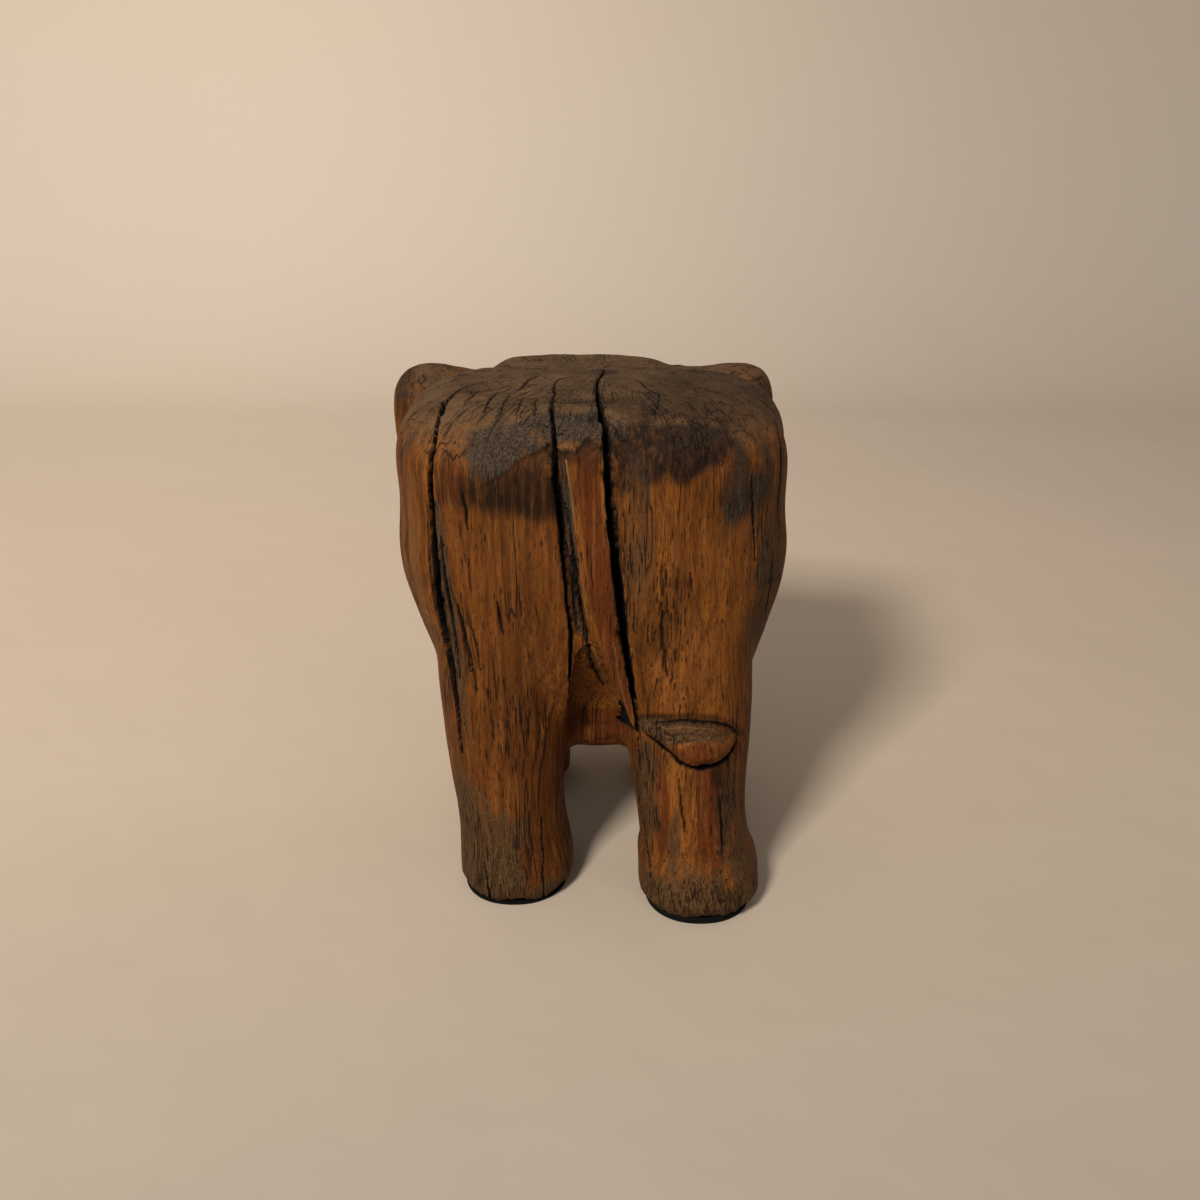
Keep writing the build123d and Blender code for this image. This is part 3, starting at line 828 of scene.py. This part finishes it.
class Finish:
    """A material under construction: its nodes, and the shader that they feed."""

    def __init__(self, name, constants=None):
        self.material = bpy.data.materials.new(name)
        self.material.use_nodes = True
        self.tree = self.material.node_tree
        self.shader = self.tree.nodes["Principled BSDF"]
        for key, value in (constants or {}).items():
            self.shader.inputs[key].default_value = value

    def node(self, kind, settings=None, inputs=None, output=0):
        """Adds a node: its settings first, then the values or links of its sockets."""
        made = self.tree.nodes.new(kind)
        for key, value in (settings or {}).items():
            if key == "stops":
                self._set_stops(made.color_ramp, value)
            else:
                setattr(made, key, value)
        for key, value in (inputs or {}).items():
            socket = self._socket(made.inputs, key)
            if isinstance(value, Value):
                self.tree.links.new(value.socket, socket)
            else:
                socket.default_value = value
        return Value(self, self._socket(made.outputs, output))

    def _socket(self, sockets, key):
        """The socket with this number or name, of those that the node's settings leave in use."""
        shown = [socket for socket in sockets if socket.enabled]
        if isinstance(key, int):
            return shown[key]
        return next(socket for socket in shown if socket.name == key)

    def _set_stops(self, ramp, stops):
        while len(ramp.elements) < len(stops):
            ramp.elements.new(0.5)
        for element, (position, colour) in zip(ramp.elements, stops):
            element.position = position
            element.color = colour

    def place(self):
        return self.node("ShaderNodeTexCoord", output="Object")

    def axis(self, vector, letter):
        return self.node("ShaderNodeSeparateXYZ", None, {"Vector": vector}, letter)

    def math(self, operation, *values):
        return self.node("ShaderNodeMath", {"operation": operation}, dict(enumerate(values)))

    def joined(self, x, y):
        return self.node("ShaderNodeCombineXYZ", None, {"X": x, "Y": y})

    def vector(self, operation, first, second, output="Vector"):
        return self.node("ShaderNodeVectorMath", {"operation": operation}, {0: first, 1: second}, output)

    def mapped(self, place, scale, turn=(0, 0, 0)):
        return self.node("ShaderNodeMapping", None, {"Vector": place, "Rotation": turn, "Scale": scale})

    def noise(self, place, scale, detail=2, roughness=0.5, output="Fac"):
        inputs = {"Vector": place, "Scale": scale, "Detail": detail, "Roughness": roughness}
        return self.node("ShaderNodeTexNoise", None, inputs, output)

    def rise(self, value, low, high, start=0.0, end=1.0):
        """A smooth rise of a value from start to end as it goes from low to high."""
        inputs = {"Value": value, "From Min": low, "From Max": high, "To Min": start, "To Max": end}
        return self.node("ShaderNodeMapRange", {"interpolation_type": "SMOOTHSTEP"}, inputs)

    def veins(self, value, width):
        """Thin lines along which a noise crosses its middle."""
        return self.rise(self.math("ABSOLUTE", value - 0.5), 0.0, width, 1.0, 0.0)

    def mix(self, amount, first, second):
        inputs = {"Factor": amount, "A": first, "B": second}
        return self.node("ShaderNodeMix", {"data_type": "RGBA"}, inputs)

    def layered(self, colour, *layers):
        """A colour with others laid over it in turn, each as (how much it covers, colour)."""
        for amount, cover in layers:
            colour = self.mix(amount, colour, cover)
        return colour

    def ramp(self, value, *stops):
        return self.node("ShaderNodeValToRGB", {"stops": stops}, {"Fac": value}, "Color")

    def mask(self, name):
        return self.node("ShaderNodeAttribute", {"attribute_name": name}, output="Fac")

    def ragged(self, name, edges, low=0.2, high=0.9, gain=1.6):
        """A painted mask whose soft border is broken up by a noise."""
        return self.rise(self.mask(name) + (edges - 0.5) * gain, low, high)

    def feed(self, inputs):
        """Links the shader's inputs and hands over the finished material."""
        for key, value in inputs.items():
            self.tree.links.new(value.socket, self.shader.inputs[key])
        return self.material

    def bump(self, height, distance):
        return self.node("ShaderNodeBump", None, {"Height": height, "Distance": distance, "Strength": 1.0})


def crown_crazing(wood, place, from_pith):
    """Short cracks that run out from the pith and across, as over the end of a log."""
    turn = wood.math("ARCTAN2", wood.axis(place, "X") - PITH[0], PITH[1] - wood.axis(place, "Y"))
    # The edges of cells that are longer outwards than round the pith
    wobble = wood.noise(place, 70, 2, 0.5, "Color")
    moved = wood.vector("ADD", wood.joined(turn * 13, from_pith * 60),
                        wood.vector("MULTIPLY", wobble, (0.7, 0.7, 0.0)))
    cells = wood.node("ShaderNodeTexVoronoi", {"feature": "DISTANCE_TO_EDGE", "voronoi_dimensions": "2D"},
                      {"Vector": moved, "Scale": 1.0, "Randomness": 0.9}, "Distance")
    cracks = wood.rise(cells, 0.0, 0.06, 0.8, 0.0) * wood.rise(wood.noise(place, 48), 0.43, 0.56)
    # Long, thin lines outwards
    rays = wood.veins(wood.noise(wood.joined(turn * 26, from_pith * 9), 1.0), 0.028)
    return cracks + rays * wood.rise(wood.noise(place, 36, 1), 0.44, 0.56)


def weathered_hardwood():
    """Old hardwood, split by drying: golden and red wood, dark dashes, grey weathered ends."""
    wood = Finish("weathered_hardwood", {"Specular IOR Level": 0.1})
    place = wood.place()
    height = wood.axis(place, "Z")
    wander = wood.noise(wood.mapped(place, (1, 1, 0.22)), 24, 1, 0.5, "Color")
    sway = wood.vector("SUBTRACT", wander, (0.5, 0.5, 0.5))
    bent = wood.vector("ADD", place, wood.vector("MULTIPLY", sway, (GRAIN_SWAY, GRAIN_SWAY, 0)))
    lean = (GRAIN_LEAN, -GRAIN_LEAN, 0)

    def grained(stretch, scale, detail, roughness):
        """A noise stretched along the grain."""
        return wood.noise(wood.mapped(bent, (1, 1, stretch), lean), scale, detail, roughness)

    streaks = grained(0.05, 230, 4, 0.62)
    fibres = grained(0.06, 950, 3, 0.6)
    ticks = grained(0.13, 1250, 1, 0.5)
    dashes = grained(0.09, 640, 2, 0.5)
    zones = grained(0.2, 15, 3, 0.55)
    crowds = grained(0.2, 44, 2, 0.5)
    lines = wood.veins(grained(0.03, 105, 2, 0.5), 0.03)
    splits = lines * wood.rise(crowds, 0.5, 0.62)
    clouds = wood.noise(place, 26, 3, 0.6)
    grit = wood.noise(place, 900, 2, 0.6)
    edges = streaks * 0.5 + clouds * 0.5

    flat = wood.vector("MULTIPLY", place, (1, 1, 0))
    from_pith = wood.vector("DISTANCE", flat, (*PITH, 0), "Value")
    swirl = wood.noise(wood.mapped(place, (1, 1, 0.3), lean), 17, 2, 0.4)
    ring = wood.math("SINE", from_pith * RING_RATE + swirl * RING_SWAY)
    ring_line = (ring * 0.5 + 0.5) ** 4.0

    # Golden wood with red parts, then pale and dark streaks, dark fibres, rings and ticks
    gold = wood.ramp(zones, (0.34, tint(84, 45, 11)), (0.5, tint(104, 58, 16)), (0.66, tint(122, 71, 23)))
    red = wood.ramp(zones, (0.36, tint(58, 23, 5)), (0.64, tint(86, 38, 8)))
    colour = wood.layered(
        gold,
        (wood.ragged("red", edges) * 0.9, red),
        (wood.rise(streaks, 0.5, 0.36) * 0.26, tint(138, 88, 44)),
        (wood.rise(streaks, 0.5, 0.66) * 0.55, tint(58, 31, 10)),
        (wood.rise(fibres, 0.48, 0.66) * 0.5, tint(58, 30, 10)),
        (ring_line * 0.36, tint(64, 32, 9)),
        (wood.rise(ticks, 0.54, 0.68) * 0.5, tint(40, 22, 9)),
    )

    # The weathered crown, and the stains, with the painted shade over the tuft that shares their mask
    crown = wood.rise(height + edges * 0.06, 0.388, 0.424)
    crown_colour = wood.ramp(fibres * 0.4 + clouds * 0.35 + grit * 0.25,
                             (0.36, tint(52, 37, 24)), (0.64, tint(110, 83, 57)))
    stain = wood.ragged("stain", streaks * 0.25 + clouds * 0.75, 0.1, 1.05, 1.3)
    stained = stain * wood.rise(streaks, 0.3, 0.6, 0.72, 0.98)
    colour = wood.layered(colour, (crown * 0.94, crown_colour), (stained, tint(26, 14, 6)))

    # Grey wood, colder high up than at the feet, with pale specks and dark lines in it
    high = wood.rise(height, 0.24, 0.33)
    dark = wood.mix(high, tint(32, 22, 12), tint(20, 16, 12))
    light = wood.mix(high, tint(88, 64, 38), tint(72, 62, 51))
    grain = wood.rise(fibres * 0.5 + streaks * 0.25 + grit * 0.25, 0.4, 0.62)
    grey = wood.ragged("grey", edges)
    colour = wood.layered(
        colour,
        (grey * 0.85, wood.mix(grain, dark, light)),
        (wood.rise(grit, 0.62, 0.74) * grey * 0.4, tint(120, 104, 86)),
        (lines * grey * high * 0.4, tint(16, 13, 10)),
    )

    # Eaten dashes, splits, crazing, worn edges with painted light, and painted shade in checks
    crowding = wood.rise(crowds, 0.42, 0.62) * 0.024 + wood.ragged("spalt", edges) * 0.095
    dash = wood.rise(dashes + crowding, 0.65, 0.73)
    craze = crown_crazing(wood, place, from_pith) * crown
    colour = wood.layered(
        colour,
        (dash * 0.85, tint(22, 14, 8)),
        (splits * 0.75, tint(18, 11, 6)),
        (craze * 0.85, tint(20, 13, 8)),
        # Worn pale edges, and painted light over the recess below the tail
        (wood.mask("pale") * wood.rise(streaks + crowds, 0.9, 1.1, 0.4, 1.0), tint(128, 92, 56)),
        # Painted shade: near black inside checks, under the tuft and under the ledge's step
        (wood.mask("ink"), tint(5, 4, 3)),
    )

    along = 1.0 - crown * 0.75
    relief = (streaks * -0.9 + fibres * 0.4 - ticks * 0.3) * along - dash * 0.6 - splits * 0.8 - craze * 0.5
    coarse = (grit - 0.5) * wood.rise(grey + crown, 0.0, 1.0)
    return wood.feed({
        "Base Color": colour,
        "Roughness": wood.rise(fibres + crown * 0.2, 0.3, 0.8, 0.55, 0.85),
        "Normal": wood.bump(relief + coarse * 0.65 - ring_line * 0.15, 1.0 * MM),
    })


def pale_tusk_wood():
    """Pale, yellowed wood with a fine grain along the tusk."""
    wood = Finish("pale_tusk_wood", {"Roughness": 0.45})
    grain = wood.mapped(wood.place(), (1, 0.12, 0.3))
    lines = wood.noise(grain, 700, 3, 0.6)
    colour = wood.ramp(lines, (0.3, tint(150, 118, 76)), (0.7, tint(204, 180, 134)))
    return wood.feed({"Base Color": colour, "Normal": wood.bump(lines, 0.2 * MM)})


def black_eye_wood():
    """Black wood, polished."""
    wood = Finish("black_eye_wood")
    lines = wood.noise(wood.mapped(wood.place(), (1, 1, 0.2)), 900, 2, 0.5)
    colour = wood.ramp(lines, (0.35, tint(12, 10, 9)), (0.7, tint(34, 26, 20)))
    return wood.feed({"Base Color": colour, "Roughness": wood.rise(lines, 0.3, 0.7, 0.12, 0.25)})


def black_pad_rubber():
    """Dull black rubber with dust in it."""
    rubber = Finish("black_pad_rubber", {"Specular IOR Level": 0.1})
    specks = rubber.noise(rubber.place(), 1600, 2, 0.6)
    colour = rubber.ramp(specks, (0.4, tint(6, 6, 5)), (0.75, tint(22, 20, 18)))
    return rubber.feed({
        "Base Color": colour,
        "Roughness": rubber.rise(specks, 0.3, 0.7, 0.75, 0.95),
        "Normal": rubber.bump(specks, 0.15 * MM),
    })


# ---- The studio ----


def beige_paper():
    """Beige paper: duller close to the camera and to its right, where less light falls."""
    paper = Finish("beige_paper", {"Roughness": 0.9})
    place = paper.place()
    creases = paper.noise(place, 2.2, 4, 0.5)
    depth = paper.axis(place, "Y") + (creases - 0.5) * 0.25
    near = paper.node("ShaderNodeMapRange", None, {"Value": depth, "From Min": -0.5, "From Max": 2.3})
    colour = paper.ramp(near, (0.0, tint(163, 150, 136)), (0.2, tint(196, 178, 156)),
                        (0.42, tint(212, 192, 170)), (1.0, tint(232, 217, 199)))
    side = paper.rise(paper.axis(place, "X") + (creases - 0.5) * 0.3, -1.0, 1.5)
    colour = paper.mix(side * 0.5, colour, tint(150, 136, 124))
    return paper.feed({"Base Color": colour, "Normal": paper.bump(creases, 0.012)})


def paper_sweep():
    """A sheet of beige paper that runs along the floor and curves up into a wall."""
    shape = bmesh.new()
    line = [shape.verts.new((-PAPER_HALF, PAPER_NEAR, 0))]
    for step in range(BEND_STEPS + 1):
        turn = pi / 2 * step / BEND_STEPS
        along = PAPER_FAR - PAPER_BEND + PAPER_BEND * sin(turn)
        line.append(shape.verts.new((-PAPER_HALF, along, PAPER_BEND - PAPER_BEND * cos(turn))))
    line.append(shape.verts.new((-PAPER_HALF, PAPER_FAR, PAPER_HEIGHT)))
    edges = [shape.edges.new(pair) for pair in zip(line, line[1:])]
    swept = bmesh.ops.extrude_edge_only(shape, edges=edges)["geom"]
    moved = [item for item in swept if isinstance(item, bmesh.types.BMVert)]
    bmesh.ops.translate(shape, verts=moved, vec=(2 * PAPER_HALF, 0, 0))
    sweep = smooth_piece("paper_sweep", shape)
    sweep.data.materials.append(beige_paper())


def studio():
    """Paper, a square lamp that faces the stool, the light of the room, and the camera."""
    paper_sweep()
    aim = Vector(LIGHT_AIM)
    level = cos(LIGHT_RISE) * LIGHT_REACH
    away = Vector((-sin(LIGHT_TURN) * level, -cos(LIGHT_TURN) * level, sin(LIGHT_RISE) * LIGHT_REACH))
    place = aim + away
    lamp = bpy.data.lights.new("key", "AREA")
    lamp.energy = LIGHT_POWER
    lamp.size = LIGHT_SIDE
    lamp.color = LIGHT_COLOUR
    key = linked("key", lamp)
    key.location = place
    key.rotation_euler = (aim - place).to_track_quat("-Z", "Y").to_euler()
    world = bpy.data.worlds.new("room")
    world.use_nodes = True
    background = world.node_tree.nodes["Background"]
    background.inputs["Color"].default_value = ROOM_COLOUR
    background.inputs["Strength"].default_value = ROOM_LIGHT
    scene = bpy.context.scene
    scene.world = world
    scene.view_settings.view_transform = "Standard"
    camera = bpy.data.cameras.new("camera")
    camera.sensor_width = CAMERA_SENSOR
    camera.lens = CAMERA_LENS
    scene.camera = linked("camera", camera)
    scene.camera.location = CAMERA_PLACE
    scene.camera.rotation_euler = (pi / 2 - CAMERA_DIP, 0, 0)


# ---- The whole ----

studio()

elephant = carved_elephant()
elephant.data.materials.append(weathered_hardwood())
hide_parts("carved_log")
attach(elephant, "root")

FINISHES = {"tusk": pale_tusk_wood(), "eye": black_eye_wood(), "foot_pad": black_pad_rubber()}
for ending, finish in FINISHES.items():
    for name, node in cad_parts.items():
        if name.endswith(ending):
            node.data.materials.clear()
            node.data.materials.append(finish)
